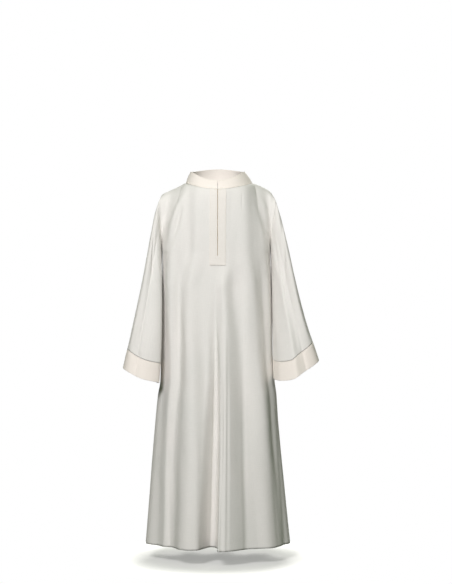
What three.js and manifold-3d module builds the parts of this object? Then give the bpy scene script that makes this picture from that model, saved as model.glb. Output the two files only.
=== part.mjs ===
// A child's alb for a first communion: a floor-length A-line gown of ivory cloth.
// Millimetres. +Z is up, the front faces -Y, +X is on the right of someone facing it.
// The origin is between the shoulders, at the level where the gown rests on them.
//
// Every piece of cloth is a closed wall. Its outer face is a grid of points worked
// out from the tables below, and its inner face is the same grid moved inwards.
import * as THREE from 'three';
import * as BufferGeometryUtils from 'three/addons/utils/BufferGeometryUtils.js';
import Module from 'manifold-3d';

const wasm = await Module();
wasm.setup();

// ---------------------------------------------------------------- sizes
const CLOTH = 1.6;          // wall of the single cloth
const DOUBLE = 2.2;         // wall of the collar and cuffs, two layers
const SEAM = 0.3;           // room between neighbouring pieces
const LAID = 0.4;           // distance of a strip from the cloth that it lies on
const HEM_Z = -1068;        // hem, level all round
const ARMPIT_Z = -200;      // lowest point of the armhole
const ZIP_END_Z = -213;     // lower end of the centre-front opening
const PLACKET_END_Z = -240; // lower edge of the placket
const PLACKET_HALF = 24;    // half its width
const TAPE_HALF = 11;       // half the width of the zip's tape
const CHAIN_HALF = 0.75;    // half the width of its closed chain
const SLIT_HALF = 1.1;      // half the width of the centre-front opening
const CUFF_DEPTH = 57;      // depth of the cuff band
const LEFT = -1, RIGHT = 1; // as seen from the front
const FRONT = -1, BACK = 1;

// Body rings from the hem to the armpit: half widths to the two sides, how far the
// front and the back stand from the side seams, and how square the ring is.
const BODY = [
  { z: -1068, left: 216, right: 217, front: 150, back: 160, square: 2.35 },
  { z: -942, left: 206, right: 204, front: 143, back: 150, square: 2.35 },
  { z: -822, left: 197, right: 192, front: 136, back: 142, square: 2.35 },
  { z: -702, left: 187, right: 181, front: 129, back: 134, square: 2.4 },
  { z: -625, left: 179, right: 176, front: 125, back: 129, square: 2.4 },
  { z: -588, left: 172.5, right: 171, front: 123, back: 127, square: 2.4 },
  { z: -520, left: 170.5, right: 165, front: 120, back: 123, square: 2.4 },
  { z: -450, left: 169, right: 163, front: 117, back: 118, square: 2.45 },
  { z: -342, left: 167, right: 161, front: 113, back: 111, square: 2.5 },
  { z: -200, left: 166, right: 157, front: 110, back: 101, square: 2.5 },
];

// The neck edge: half widths to the two neck points, reach of the front and back,
// and heights. The shoulder seam runs from a neck point to the shoulder tip.
const NECK = { left: 96, right: 104, front: 94, back: 74, pointZ: 7, frontZ: -14, backZ: 14 };
const SHOULDER = { left: 168, right: 164, tipZ: -29, crownLeft: -2, crownRight: 4 };
const NECK_SHARE = 0.62;    // part of the top edge that is neck, from the centre out

// The armhole edge of a panel: half widths to the two sides up its height.
const ARMHOLE = [
  { rise: 0.0, left: 166, right: 157 },
  { rise: 0.25, left: 168, right: 158 },
  { rise: 0.5, left: 171, right: 163 },
  { rise: 0.75, left: 174, right: 170 },
  { rise: 0.9, left: 174, right: 172 },
  { rise: 1.0, left: 168, right: 164 },
];
const ARMHOLE_REACH = { front: 54, back: 58 };

// Folds. A fold's line is an angle from the centre of its panel, in degrees, at the
// hem, at the knee (KNEE_Z), at the chest (CHEST_Z) and at the height top, where it has
// died out. left and right are its half widths in degrees, and hem, knee and chest are
// how far it stands out there, in mm: a ridge is above zero and a trough below. lean is
// how far its crest moves sideways for each mm of that.
const KNEE_Z = -702, CHEST_Z = -300;
const FRONT_FOLDS = [
  { at: -62, atKnee: -62, atChest: -67, atTop: -69, top: -130, left: 24, right: 34, hem: -21, knee: -12, chest: -3, lean: 0 },
  { at: -53, atKnee: -56, atChest: -56, atTop: -57, top: -90, left: 18, right: 13, hem: 2, knee: 7, chest: 14, lean: 0.3 },
  { at: -41, atKnee: -44.5, atChest: -39.5, atTop: -28, top: -70, left: 12, right: 12, hem: -12, knee: -9, chest: -9, lean: 0.1 },
  { at: -21, atKnee: -22, atChest: -30.5, atTop: -19, top: -180, left: 18, right: 14, hem: 25, knee: 20, chest: 8, lean: 0 },
  { at: -4.5, atKnee: -1, atChest: 3, atTop: 3, top: -240, left: 11.5, right: 11, hem: -46, knee: -31, chest: -2, lean: 0.05 },
  { at: 6.5, atKnee: 8, atChest: 8, atTop: 8, top: -236, left: 12, right: 20, hem: 46, knee: 31, chest: 12, lean: -0.45 },
  { at: 21, atKnee: 25, atChest: 18, atTop: 18, top: -236, left: 13, right: 14, hem: 1, knee: -5, chest: -9, lean: 0 },
  { at: 44, atKnee: 41, atChest: 35.5, atTop: 28, top: -120, left: 12, right: 14, hem: 7, knee: 2, chest: 6, lean: 0.3 },
  { at: 53, atKnee: 48, atChest: 49, atTop: 33, top: -110, left: 15, right: 18, hem: -1, knee: 8, chest: 2, lean: 0.2 },
  { at: 70, atKnee: 67.5, atChest: 57, atTop: 43, top: -110, left: 20, right: 15, hem: -14, knee: -6, chest: -8, lean: 0.1 },
];
const BACK_FOLDS = [
  { at: -70, atKnee: -71, atChest: -72, atTop: -61, top: -150, left: 12, right: 12, hem: -24, knee: -13, chest: -2, lean: 0.3 },
  { at: -53, atKnee: -55, atChest: -57, atTop: -48, top: -120, left: 14, right: 9, hem: 20, knee: 13, chest: 4, lean: 0.4 },
  { at: -37, atKnee: -38, atChest: -36, atTop: -31, top: -100, left: 9, right: 14, hem: -36, knee: -24, chest: -8, lean: -0.3 },
  { at: -20, atKnee: -20, atChest: -21, atTop: -18, top: -110, left: 9, right: 12, hem: 18, knee: 12, chest: 5, lean: -0.3 },
  { at: -5, atKnee: -7, atChest: -7, atTop: -6, top: -140, left: 12, right: 9, hem: -30, knee: -18, chest: -5, lean: 0.2 },
  { at: 9, atKnee: 8, atChest: 9, atTop: 8, top: -110, left: 8, right: 11, hem: 18, knee: 12, chest: 4, lean: -0.2 },
  { at: 25, atKnee: 26, atChest: 25, atTop: 21, top: -90, left: 13, right: 9, hem: -38, knee: -25, chest: -9, lean: 0.3 },
  { at: 41, atKnee: 41, atChest: 40, atTop: 34, top: -120, left: 9, right: 14, hem: 20, knee: 13, chest: 5, lean: -0.4 },
  { at: 62, atKnee: 61, atChest: 60, atTop: 51, top: -130, left: 12, right: 12, hem: -27, knee: -17, chest: -5, lean: 0.2 },
];

// The sleeve ends: centre, half axes, how far the ring is turned about Z, and how
// its plane rises outwards and to the back. SLEEVE_SQUARE is how square the ring is.
const SLEEVE_SQUARE = 2.3;
const SLEEVE_END = {
  left: { out: 227, y: -36, z: -564, rx: 49, ry: 76, turn: 12, riseOut: 0.46, riseBack: 0.1 },
  right: { out: 230.5, y: -62, z: -545, rx: 62, ry: 66, turn: -26, riseOut: 0.46, riseBack: 0.28 },
};
// How the sleeve bows from straight lines between armhole and end: along is the part
// of the way down, left and right move its outer side, deep swells its front and back,
// square fills its outer front corner, cornerLeft and cornerRight the inner one of that
// side, and innerLeft and innerRight move that corner in front of the body.
const SLEEVE_BOW = [
  { along: 0.0, left: 0, right: 0, deep: 0, square: 0, cornerLeft: 0, cornerRight: 0, innerLeft: 0, innerRight: 0 },
  { along: 0.04, left: 3, right: 1, deep: 6, square: 3, cornerLeft: 3, cornerRight: 1, innerLeft: 1, innerRight: 0 },
  { along: 0.1, left: 5, right: 2, deep: 9, square: 6, cornerLeft: 6, cornerRight: 3, innerLeft: 3, innerRight: 0 },
  { along: 0.25, left: 2, right: -2, deep: 9, square: 11, cornerLeft: 10, cornerRight: 6, innerLeft: 9, innerRight: -4 },
  { along: 0.5, left: -4, right: -10, deep: 9, square: 14, cornerLeft: 14, cornerRight: 9, innerLeft: 16, innerRight: -9 },
  { along: 0.75, left: -3, right: -10, deep: 6, square: 14, cornerLeft: 16, cornerRight: 11, innerLeft: 21, innerRight: -12 },
  { along: 1.0, left: 0, right: 0, deep: 0, square: 8, cornerLeft: 12, cornerRight: 10, innerLeft: 20, innerRight: -12 },
];
// Sleeve folds: angle round the sleeve from its outer line, front side above zero.
const SLEEVE_FOLDS = {
  left: [
    { at: 60, atEnd: 74, half: 40, mid: -5, end: -3 },
    { at: 30, atEnd: 26, half: 34, mid: 3, end: 2 },
    { at: -70, atEnd: -60, half: 36, mid: -8, end: -4 },
    { at: -128, atEnd: -118, half: 30, mid: 5, end: 3 },
  ],
  right: [
    { at: 112, atEnd: 104, half: 26, mid: -6, end: -3 },
    { at: 50, atEnd: 42, half: 36, mid: 6, end: 4 },
    { at: -64, atEnd: -70, half: 34, mid: -8, end: -4 },
    { at: -122, atEnd: -126, half: 30, mid: 5, end: 2 },
  ],
};

// The collar's top edge, in the same terms as the neck edge.
const COLLAR_TOP = { left: 80, right: 79, front: 80, back: 70, pointZ: 43, frontZ: 12, backZ: 55 };
const COLLAR_SLIT = 1.2;    // width of the collar's centre-front opening

// How finely each piece is divided.
const FRONT_COLUMNS = 53, BACK_COLUMNS = 42;
const LOWER_ROWS = [HEM_Z, -975, -880, -790, -702, -610, -510, -410, -310, PLACKET_END_Z, ARMPIT_Z];
const UPPER_ROWS = 6;       // rows of cloth between armpit and shoulder
const SLEEVE_ROWS = 8, COLLAR_COLUMNS = 40;

// ---------------------------------------------------------------- reading the tables
const lerp = (a, b, t) => a + (b - a) * t;
const rad = (deg) => (deg * Math.PI) / 180;

// The value of a named column at a key, on a smooth curve through the table's rows.
function read(rows, key, at, column) {
  const n = rows.length;
  const up = rows[n - 1][key] > rows[0][key] ? 1 : -1;
  if ((at - rows[0][key]) * up <= 0) return rows[0][column];
  if ((at - rows[n - 1][key]) * up >= 0) return rows[n - 1][column];
  let i = 0;
  while ((at - rows[i + 1][key]) * up > 0) i++;
  const k = (j) => rows[j][key], v = (j) => rows[j][column];
  const slope = (j) => {
    const a = Math.max(j - 1, 0), b = Math.min(j + 1, n - 1);
    return (v(b) - v(a)) / (k(b) - k(a));
  };
  const h = k(i + 1) - k(i), t = (at - k(i)) / h;
  const t2 = t * t, t3 = t2 * t;
  return (2 * t3 - 3 * t2 + 1) * v(i) + (t3 - 2 * t2 + t) * h * slope(i)
    + (-2 * t3 + 3 * t2) * v(i + 1) + (t3 - t2) * h * slope(i + 1);
}

// A value given at the hem, the knee, the chest and the height top.
function along(z, hem, knee, chest, end, top) {
  if (z < KNEE_Z) return lerp(hem, knee, (z - HEM_Z) / (KNEE_Z - HEM_Z));
  if (z < CHEST_Z) return lerp(knee, chest, (z - KNEE_Z) / (CHEST_Z - KNEE_Z));
  return lerp(chest, end, Math.min(1, (z - CHEST_Z) / (top - CHEST_Z)));
}

const bump = (r) => (Math.abs(r) < 1 ? (1 + Math.cos(Math.PI * r)) / 2 : 0);
const sideName = (s) => (s < 0 ? 'left' : 'right');
const faceName = (f) => (f < 0 ? 'front' : 'back');

// ---------------------------------------------------------------- the body
// A point of the body below the armpit: face is FRONT or BACK, deg the angle from the
// centre of that face out to a side seam at +-90.
function skirtPoint(face, deg, z) {
  const folds = face === FRONT ? FRONT_FOLDS : BACK_FOLDS;
  const side = deg < 0 ? 'left' : 'right';
  const half = read(BODY, 'z', z, side), reach = read(BODY, 'z', z, faceName(face));
  const n = read(BODY, 'z', z, 'square');
  const s = Math.sin(rad(deg)), a = Math.min(1, Math.abs(s));
  const x = half * s, y = face * reach * Math.pow(Math.max(0, 1 - Math.pow(a, n)), 1 / n);
  // outward normal of the ring
  let nx = Math.sign(s) * Math.pow(a, n - 1) / half;
  let ny = face * Math.pow(Math.abs(y) / reach, n - 1) / reach;
  const len = Math.hypot(nx, ny) || 1;
  nx /= len; ny /= len;
  let out = 0, lean = 0;
  for (const f of folds) {
    const at = along(z, f.at, f.atKnee, f.atChest, f.atTop, f.top);
    const size = along(z, f.hem, f.knee, f.chest, 0, f.top);
    const b = bump((deg - at) / (deg < at ? f.left : f.right));
    out += size * b;
    lean += f.lean * size * b;
  }
  const edge = 1 - Math.pow(Math.abs(deg) / 90, 10);
  out *= edge; lean *= edge;
  // the direction of growing deg, along the ring
  const tx = face < 0 ? -ny : ny, ty = face < 0 ? nx : -nx;
  return [x + nx * out + tx * lean, y + ny * out + ty * lean, z];
}

// The top edge of a panel: neck edge near the centre, then the shoulder seam.
function topPoint(face, deg) {
  const side = sideName(deg), a = Math.abs(deg) / 90, s = Math.sign(deg) || 1;
  if (a <= NECK_SHARE) {
    const b = rad((a / NECK_SHARE) * 90);
    const centreZ = face < 0 ? NECK.frontZ : NECK.backZ;
    return [s * NECK[side] * Math.sin(b), face * NECK[faceName(face)] * Math.cos(b),
      lerp(centreZ, NECK.pointZ, Math.sin(b) ** 2)];
  }
  const k = (a - NECK_SHARE) / (1 - NECK_SHARE);
  return [s * lerp(NECK[side], SHOULDER[side], k), 0,
    lerp(NECK.pointZ, SHOULDER.tipZ, k) + SHOULDER[deg < 0 ? 'crownLeft' : 'crownRight'] * Math.sin(Math.PI * k)];
}

// A point of the body above the armpit. turn runs from 0 at the armpit's level to 90
// degrees at the top edge, and rounds the cloth over the shoulder.
function yokePoint(face, deg, turn) {
  const low = skirtPoint(face, deg, ARMPIT_Z), top = topPoint(face, deg);
  const t = Math.sin(rad(turn)), c = Math.cos(rad(turn));
  const w = (t + 1 - c) / 2, side = sideName(deg), s = Math.sign(deg) || 1;
  const a = Math.abs(deg) / 90;
  const edge = read(ARMHOLE, 'rise', t, side) - lerp(low[0] * s, top[0] * s, w);
  const x = lerp(low[0], top[0], w) + s * edge * Math.pow(a, 7);
  const y0 = Math.abs(lerp(top[1], low[1], Math.pow(c, 0.8)));
  // the armhole edge lies in a shallow hollow
  const reach = ARMHOLE_REACH[faceName(face)] * (Math.pow(a, 3) - 0.22 * Math.max(0, a * 8 - 7))
    * Math.pow(Math.max(0, Math.sin(rad(2 * turn))), turn < 45 ? 0.7 : 1.1);
  const y = face * Math.pow(y0 ** 4 + reach ** 4, 0.25);
  return [x, y, lerp(low[2], top[2], t)];
}

// Panel rows: the lower ones by height, the upper ones by turn.
const panelRows = [
  ...LOWER_ROWS.map((z) => ({ z })),
  ...Array.from({ length: UPPER_ROWS }, (_, k) => ({ turn: ((k + 1) * 90) / UPPER_ROWS })),
];
const panelPoint = (face, deg, row) =>
  ('z' in row ? skirtPoint(face, deg, row.z) : yokePoint(face, deg, row.turn));

// Column angles that cut the hem into equal lengths, so that the folds have enough.
function columns(face, count) {
  const fine = 720, sums = [0];
  let last = skirtPoint(face, -90, HEM_Z);
  for (let i = 1; i <= fine; i++) {
    const p = skirtPoint(face, -90 + (180 * i) / fine, HEM_Z);
    sums.push(sums[i - 1] + Math.hypot(p[0] - last[0], p[1] - last[1]));
    last = p;
  }
  const out = [];
  for (let k = 0, i = 0; k <= count; k++) {
    const want = (sums[fine] * k) / count;
    while (i < fine && sums[i + 1] < want) i++;
    const part = i < fine ? (want - sums[i]) / (sums[i + 1] - sums[i]) : 0;
    out.push(-90 + (180 * (i + part)) / fine);
  }
  out[0] = -90; out[count] = 90;
  // the front has a column on each edge of the placket and the zip, and on the centre line
  if (face === FRONT) {
    for (const x of [-PLACKET_HALF, -TAPE_HALF, 0, TAPE_HALF, PLACKET_HALF]) {
      const deg = (Math.asin(x / BODY[BODY.length - 1][sideName(x)]) * 180) / Math.PI;
      const near = out.reduce((m, d, i) => (Math.abs(d - deg) < Math.abs(out[m] - deg) ? i : m), 0);
      out[near] = deg;
    }
  }
  return out;
}

// ---------------------------------------------------------------- walls from grids
const sub = (a, b) => [a[0] - b[0], a[1] - b[1], a[2] - b[2]];
const cross = (a, b) => [a[1] * b[2] - a[2] * b[1], a[2] * b[0] - a[0] * b[2], a[0] * b[1] - a[1] * b[0]];
const unit = (a) => { const l = Math.hypot(...a) || 1; return [a[0] / l, a[1] / l, a[2] / l]; };
const move = (p, d, by) => [p[0] + d[0] * by, p[1] + d[1] * by, p[2] + d[2] * by];

// Normals of a grid[row][column], pointing to the side where rows turn into columns
// by the right-hand rule. loop joins the last column to the first.
function gridNormals(grid, loop) {
  const rows = grid.length, cols = grid[0].length;
  return grid.map((row, i) => row.map((p, j) => {
    const i0 = Math.max(i - 1, 0), i1 = Math.min(i + 1, rows - 1);
    const j0 = loop ? (j + cols - 1) % cols : Math.max(j - 1, 0);
    const j1 = loop ? (j + 1) % cols : Math.min(j + 1, cols - 1);
    return unit(cross(sub(grid[i][j1], grid[i][j0]), sub(grid[i1][j], grid[i0][j])));
  }));
}

// A closed wall between an outer and an inner grid.
function wall(outer, inner, loop) {
  const rows = outer.length, cols = outer[0].length, span = loop ? cols : cols - 1;
  const positions = [], index = [];
  for (const grid of [outer, inner]) for (const row of grid) for (const p of row) positions.push(...p);
  const o = (i, j) => i * cols + (j % cols), n = (i, j) => rows * cols + o(i, j);
  const quad = (a, b, c, d) => index.push(a, b, c, a, c, d);
  for (let i = 0; i < rows - 1; i++) {
    for (let j = 0; j < span; j++) {
      quad(o(i, j), o(i, j + 1), o(i + 1, j + 1), o(i + 1, j));
      quad(n(i, j), n(i + 1, j), n(i + 1, j + 1), n(i, j + 1));
    }
    if (!loop) {
      quad(o(i, 0), o(i + 1, 0), n(i + 1, 0), n(i, 0));
      quad(o(i, cols - 1), n(i, cols - 1), n(i + 1, cols - 1), o(i + 1, cols - 1));
    }
  }
  for (let j = 0; j < span; j++) {
    quad(o(0, j), n(0, j), n(0, j + 1), o(0, j + 1));
    quad(o(rows - 1, j), o(rows - 1, j + 1), n(rows - 1, j + 1), n(rows - 1, j));
  }
  const g = new THREE.BufferGeometry();
  g.setAttribute('position', new THREE.Float32BufferAttribute(positions, 3));
  g.setIndex(index);
  return outwards(g);
}

// Turns a closed geometry's faces outwards.
function outwards(g) {
  const p = g.attributes.position, idx = g.index.array;
  let volume = 0;
  const a = new THREE.Vector3(), b = new THREE.Vector3(), c = new THREE.Vector3();
  for (let i = 0; i < idx.length; i += 3) {
    a.fromBufferAttribute(p, idx[i]); b.fromBufferAttribute(p, idx[i + 1]); c.fromBufferAttribute(p, idx[i + 2]);
    volume += a.dot(b.cross(c)) / 6;
  }
  if (volume < 0) for (let i = 0; i < idx.length; i += 3) [idx[i + 1], idx[i + 2]] = [idx[i + 2], idx[i + 1]];
  g.computeVertexNormals();
  return g;
}

// ---------------------------------------------------------------- the pieces
// A panel's outer and inner grids. Along the side seams and the shoulder seams the
// wall's edge is square to the seam, half a seam's room from it.
function panelGrids(face, count) {
  const degs = columns(face, count);
  const outer = panelRows.map((row) => degs.map((deg) => panelPoint(face, deg, row)));
  const normals = gridNormals(outer, false);
  const flip = face < 0 ? 1 : -1;
  const last = panelRows.length - 1, armpit = LOWER_ROWS.length - 1;
  const inner = outer.map((row, i) => row.map((p, j) => {
    let d = normals[i][j].map((v) => -v * flip);
    const atSide = (j === 0 || j === degs.length - 1) && i <= armpit;
    const onTop = i === last;
    const atArmhole = (j === 0 || j === degs.length - 1) && i > armpit;
    if (atSide) d = [-Math.sign(degs[j]), 0, 0];
    else if (onTop && Math.abs(degs[j]) / 90 > NECK_SHARE - 0.001) d = unit([d[0], 0, d[2]]);
    else if (onTop) d = unit([d[0], d[1], Math.min(d[2], -0.05)]);
    if (atArmhole && d[0] * degs[j] > 0) d = unit([0, d[1], d[2]]);
    if (face * d[1] > 0 && Math.abs(p[1]) < 4) d = unit([d[0], 0, d[2]]);
    if (i === 0) d = unit([d[0], d[1], 0]);
    return move(p, d, CLOTH);
  }));
  const room = (grid) => grid.map((row) => row.map(([x, y, z]) => [x, y + (face * SEAM) / 2, z]));
  return { degs, outer: room(outer), inner: room(inner) };
}
const frontGrids = panelGrids(FRONT, FRONT_COLUMNS);
const backGrids = panelGrids(BACK, BACK_COLUMNS);

// Solids in manifold form, and back.
function toSolid(geometry) {
  const g = geometry.clone();
  g.deleteAttribute('normal'); g.deleteAttribute('uv');
  const m = BufferGeometryUtils.mergeVertices(g, 1e-4);
  return new wasm.Manifold(new wasm.Mesh({
    numProp: 3,
    vertProperties: new Float32Array(m.attributes.position.array),
    triVerts: new Uint32Array(m.index.array),
  }));
}
function toGeometry(solid) {
  const m = solid.getMesh(), g = new THREE.BufferGeometry();
  g.setAttribute('position', new THREE.Float32BufferAttribute(m.vertProperties, 3));
  g.setIndex(Array.from(m.triVerts));
  g.computeVertexNormals();
  return g;
}

// The centre-front opening, as a cutter from the neck down to its end.
function opening(half, endZ) {
  const g = new THREE.BoxGeometry(2 * half, 100, 100 - endZ);
  g.translate(0, -110, (100 + endZ) / 2);
  return g;
}

// A strip along the centre front, between two distances off a face of the front panel:
// the panel's own columns from -half to +half and its rows from fromZ up, ending a
// little short of the neck edge.
function strip(grid, half, fromZ, near, far, short) {
  const degs = frontGrids.degs, wide = BODY[BODY.length - 1];
  const columnAt = (x) => degs.findIndex((d) =>
    Math.abs(d - (Math.asin(x / wide[sideName(x)]) * 180) / Math.PI) < 1e-9);
  const first = columnAt(-half), last = columnAt(half);
  const rows = grid.slice(LOWER_ROWS.indexOf(fromZ)).map((row) => row.slice(first, last + 1));
  return layer(rows, near, far, short);
}
// A narrow one, of the given half width, on the centre line.
function bead(grid, half, fromZ, near, far, short) {
  const centre = frontGrids.degs.findIndex((d) => Math.abs(d) < 1e-9);
  const rows = grid.slice(LOWER_ROWS.indexOf(fromZ)).map((row) =>
    [-half, half].map((x) => [x, row[centre][1], row[centre][2]]));
  return layer(rows, near, far, short);
}
function layer(rows, near, far, short) {
  const normals = gridNormals(rows, false), top = rows.length - 1;
  const shift = (by) => {
    const out = rows.map((row, i) => row.map((p, j) => move(p, normals[i][j], by)));
    out[top] = out[top].map((p, j) => move(p, unit(sub(out[top - 1][j], p)), short));
    return out;
  };
  return wall(shift(Math.max(near, far)), shift(Math.min(near, far)), false);
}

const frontPanel = toGeometry(
  toSolid(wall(frontGrids.outer, frontGrids.inner, false)).subtract(toSolid(opening(SLIT_HALF, ZIP_END_Z))));
const backPanel = wall(backGrids.outer, backGrids.inner, false);

// The placket lies on the front and is open where the panel is.
const placket = toGeometry(
  toSolid(strip(frontGrids.outer, PLACKET_HALF, PLACKET_END_Z, LAID, LAID + 1.1, 1.2))
    .subtract(toSolid(opening(SLIT_HALF, ZIP_END_Z))));

// The zip: a tape behind the panel, and the closed chain that stands in the opening.
const chain = toSolid(bead(frontGrids.inner, CHAIN_HALF, PLACKET_END_Z, -LAID - 0.5, CLOTH - 0.3, 5))
  .intersect(toSolid(opening(CHAIN_HALF, ZIP_END_Z + SEAM)));
const zip = toGeometry(
  toSolid(strip(frontGrids.inner, TAPE_HALF, PLACKET_END_Z, -LAID - 0.9, -LAID, 5)).add(chain));

// ---------------------------------------------------------------- sleeves and cuffs
// The armhole as a ring of panel edge points, from the shoulder tip down the front to
// the armpit and up the back, with a point halfway between each two.
function armholeRing(side) {
  const armpit = LOWER_ROWS.length - 1, top = panelRows.length - 1;
  const deg = side * 90, edge = [];
  const at = (face, i) => panelPoint(face, deg, panelRows[i]);
  for (let i = top; i > armpit; i--) edge.push(at(FRONT, i));
  for (let i = armpit; i < top; i++) edge.push(at(BACK, i));
  const ring = [];
  edge.forEach((p, i) => {
    const q = edge[(i + 1) % edge.length];
    ring.push(p, [0, 1, 2].map((k) => (p[k] + q[k]) / 2));
  });
  return ring.map(([x, y, z]) => [x + side * (SEAM + 0.25), y, z]);
}

// The sleeve end: the same number of points round its ring, evenly by length.
function sleeveEnd(side, count) {
  const e = SLEEVE_END[sideName(side)], turn = rad(e.turn) * side * -1;
  const oval = (a) => {
    const c = Math.cos(a), s = Math.sin(a);
    const size = (Math.abs(c) ** SLEEVE_SQUARE + Math.abs(s) ** SLEEVE_SQUARE) ** (-1 / SLEEVE_SQUARE);
    const u = e.rx * c * size, v = -e.ry * s * size;
    const out = u * Math.cos(turn) - v * Math.sin(turn), y = u * Math.sin(turn) + v * Math.cos(turn);
    return [side * (e.out + out), e.y + y, e.z + e.riseOut * out + e.riseBack * y];
  };
  const fine = 720, sums = [0];
  for (let i = 1; i <= fine; i++) {
    const p = oval((2 * Math.PI * i) / fine), q = oval((2 * Math.PI * (i - 1)) / fine);
    sums.push(sums[i - 1] + Math.hypot(...sub(p, q)));
  }
  const out = [];
  for (let k = 0, i = 0; k < count; k++) {
    const want = (sums[fine] * k) / count;
    while (sums[i + 1] < want) i++;
    out.push(oval((2 * Math.PI * (i + (want - sums[i]) / (sums[i + 1] - sums[i]))) / fine));
  }
  return out;
}

// A point of the sleeve: column j, and t from 0 at the armhole to 1 at its end.
function sleevePoint(side, armhole, end, j, t) {
  const name = sideName(side), round = (j / armhole.length) * 360;
  const a = armhole[j], b = end[j], c = Math.cos(rad(round)), s = Math.sin(rad(round));
  const p = [0, 1, 2].map((k) => lerp(a[k], b[k], t));
  p[0] += side * read(SLEEVE_BOW, 'along', t, name) * Math.max(0, c) ** 1.5;
  p[1] -= read(SLEEVE_BOW, 'along', t, 'deep') * s;
  const front = Math.max(0, s);
  const fill = c > 0 ? 'square' : side < 0 ? 'cornerLeft' : 'cornerRight';
  p[1] -= read(SLEEVE_BOW, 'along', t, fill) * 2 * front * Math.abs(c);
  const inner = read(SLEEVE_BOW, 'along', t, side < 0 ? 'innerLeft' : 'innerRight');
  p[0] -= side * inner * 5.6 * front ** 2 * Math.max(0, -c) ** 3;
  let out = 0;
  for (const f of SLEEVE_FOLDS[name]) {
    const at = lerp(f.at, f.atEnd, t);
    let gap = (((round - at) % 360) + 540) % 360 - 180;
    const size = t < 0.5 ? f.mid * Math.sin(Math.PI * t) : lerp(f.mid, f.end, (t - 0.5) * 2);
    out += size * bump(gap / f.half);
  }
  p[0] += side * c * out;
  p[1] -= s * out;
  return p;
}

function sleeveGrids(side) {
  const armhole = armholeRing(side), count = armhole.length, end = sleeveEnd(side, count);
  const lengths = armhole.map((p, j) => Math.hypot(...sub(end[j], p)));
  const row = (t) => armhole.map((_, j) => sleevePoint(side, armhole, end, j, t));
  const seam = (extra) => armhole.map((_, j) =>
    sleevePoint(side, armhole, end, j, 1 - (CUFF_DEPTH + extra) / lengths[j]));
  const sleeve = [];
  for (let i = 0; i <= SLEEVE_ROWS; i++) {
    // rows crowd towards the armhole, where the sleeve turns down, and each ends above the cuff
    const k = (i / SLEEVE_ROWS) ** 1.25;
    sleeve.push(armhole.map((_, j) =>
      sleevePoint(side, armhole, end, j, k * (1 - (CUFF_DEPTH + SEAM + 0.25) / lengths[j]))));
  }
  return { sleeve, cuff: [seam(0), row(1)] };
}

// Inner face of a tube of rings: the outer one moved to the inside. The first ring of
// the sleeve never moves towards the body, so it stays clear of the panels' edges.
function tube(rings, side, thick, atArmhole) {
  const normals = gridNormals(rings, true);
  const centre = rings.map((ring) => ring.reduce((m, p) => m.map((v, k) => v + p[k] / ring.length), [0, 0, 0]));
  const mid = Math.floor(rings.length / 2);
  const sign = Math.sign(rings[mid].reduce((sum, p, j) => {
    const d = sub(p, centre[mid]);
    return sum + d[0] * normals[mid][j][0] + d[1] * normals[mid][j][1] + d[2] * normals[mid][j][2];
  }, 0));
  const inner = rings.map((ring, i) => ring.map((p, j) => {
    let d = normals[i][j].map((v) => -v * sign);
    if (i === 0 && atArmhole && d[0] * side < 0) d = unit([0, d[1], d[2]]);
    return move(p, d, thick);
  }));
  return wall(rings, inner, true);
}

// ---------------------------------------------------------------- the collar
function collarPoint(edge, deg) {
  // deg runs round from the centre front, below zero to the left, to 180 at the back
  const s = Math.sin(rad(deg)), c = Math.cos(rad(deg));
  const half = edge[deg < 0 ? 'left' : 'right'];
  const reach = c > 0 ? -edge.front * c : -edge.back * c;
  const z = lerp(c > 0 ? edge.frontZ : edge.backZ, edge.pointZ, s * s);
  return [half * s, reach, z];
}
function collarWall() {
  const slitDeg = (COLLAR_SLIT / 2 / NECK.left) * (180 / Math.PI);
  const degs = [];
  for (let k = 0; k <= COLLAR_COLUMNS; k++) degs.push(lerp(slitDeg, 360 - slitDeg, k / COLLAR_COLUMNS));
  const around = degs.map((d) => (d > 180 ? d - 360 : d));
  const rings = [0, 0.5, 1].map((t) => around.map((deg) => {
    const a = collarPoint(NECK, deg), b = collarPoint(COLLAR_TOP, deg);
    const p = [0, 1, 2].map((k) => lerp(a[k], b[k], t));
    return [p[0], p[1], p[2] + (SEAM + 0.2) * (1 - t)];
  }));
  const normals = gridNormals(rings, false);
  const inner = rings.map((ring, i) => ring.map((p, j) => {
    const radial = unit([p[0], p[1], 0]);
    let d = normals[i][j];
    if (d[0] * radial[0] + d[1] * radial[1] > 0) d = d.map((v) => -v);
    if (i === 0) d = unit([d[0], d[1], Math.max(0, d[2])]);
    if (j === 0 || j === ring.length - 1) d = unit([0, d[1], d[2]]);
    return move(p, d, DOUBLE);
  }));
  return wall(rings, inner, false);
}

// ---------------------------------------------------------------- the garment
const group = new THREE.Group();
const IVORY = 0xe9e4d8;
function add(name, geometry, color, roughness) {
  const mesh = new THREE.Mesh(geometry, new THREE.MeshStandardMaterial({ color, roughness, metalness: 0 }));
  mesh.name = name;
  group.add(mesh);
}
add('front_panel', frontPanel, IVORY, 0.85);
add('back_panel', backPanel, IVORY, 0.85);
for (const side of [LEFT, RIGHT]) {
  const grids = sleeveGrids(side);
  add(`sleeve_${sideName(side)}`, tube(grids.sleeve, side, CLOTH, true), IVORY, 0.85);
  add(`cuff_${sideName(side)}`, tube(grids.cuff, side, DOUBLE, false), IVORY, 0.8);
}
add('collar', collarWall(), 0xf0e8dc, 0.8);
add('placket', placket, 0xf0e8dc, 0.8);
add('zip', zip, 0xdcccb0, 0.5);

export default group;
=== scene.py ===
"""A child's first communion alb, hanging as it is worn, with no wearer. Lengths in the tables are millimetres."""

import math

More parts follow.
